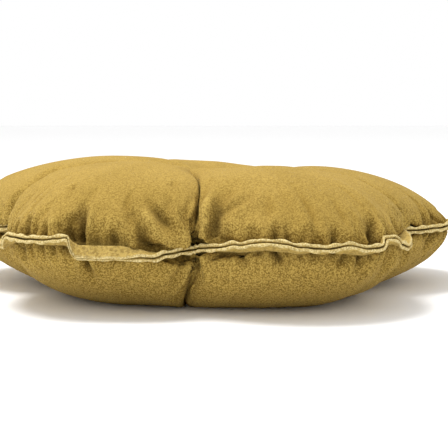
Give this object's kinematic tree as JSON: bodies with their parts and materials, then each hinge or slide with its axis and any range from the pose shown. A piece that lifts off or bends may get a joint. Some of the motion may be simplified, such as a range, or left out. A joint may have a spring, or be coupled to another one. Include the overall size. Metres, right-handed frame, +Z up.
{
  "type": "flower-shaped cushion",
  "caption": "Flower-shaped scatter cushion with puffed petals, deep creases between them, a dimpled middle and a flat flanged edge.",
  "frame": {"origin": "on the floor, under the middle of the cushion's outline", "axes": "+Z up out of the upper face; -Y towards the side that the picture shows; +X to the right in it"},
  "size_m": [0.4358, 0.4226, 0.1062],
  "materials": {
    "panel_velvet": "ochre velvet with a short pile",
    "upper_edge_velvet": "ochre velvet with a short pile, paler along the fold",
    "lower_edge_velvet": "ochre velvet with a short pile, paler along the fold"
  },
  "bodies": {
    "root": {"filled_body": "panel_velvet", "upper_flange": "upper_edge_velvet", "lower_flange": "lower_edge_velvet"}
  },
  "joints": []
}
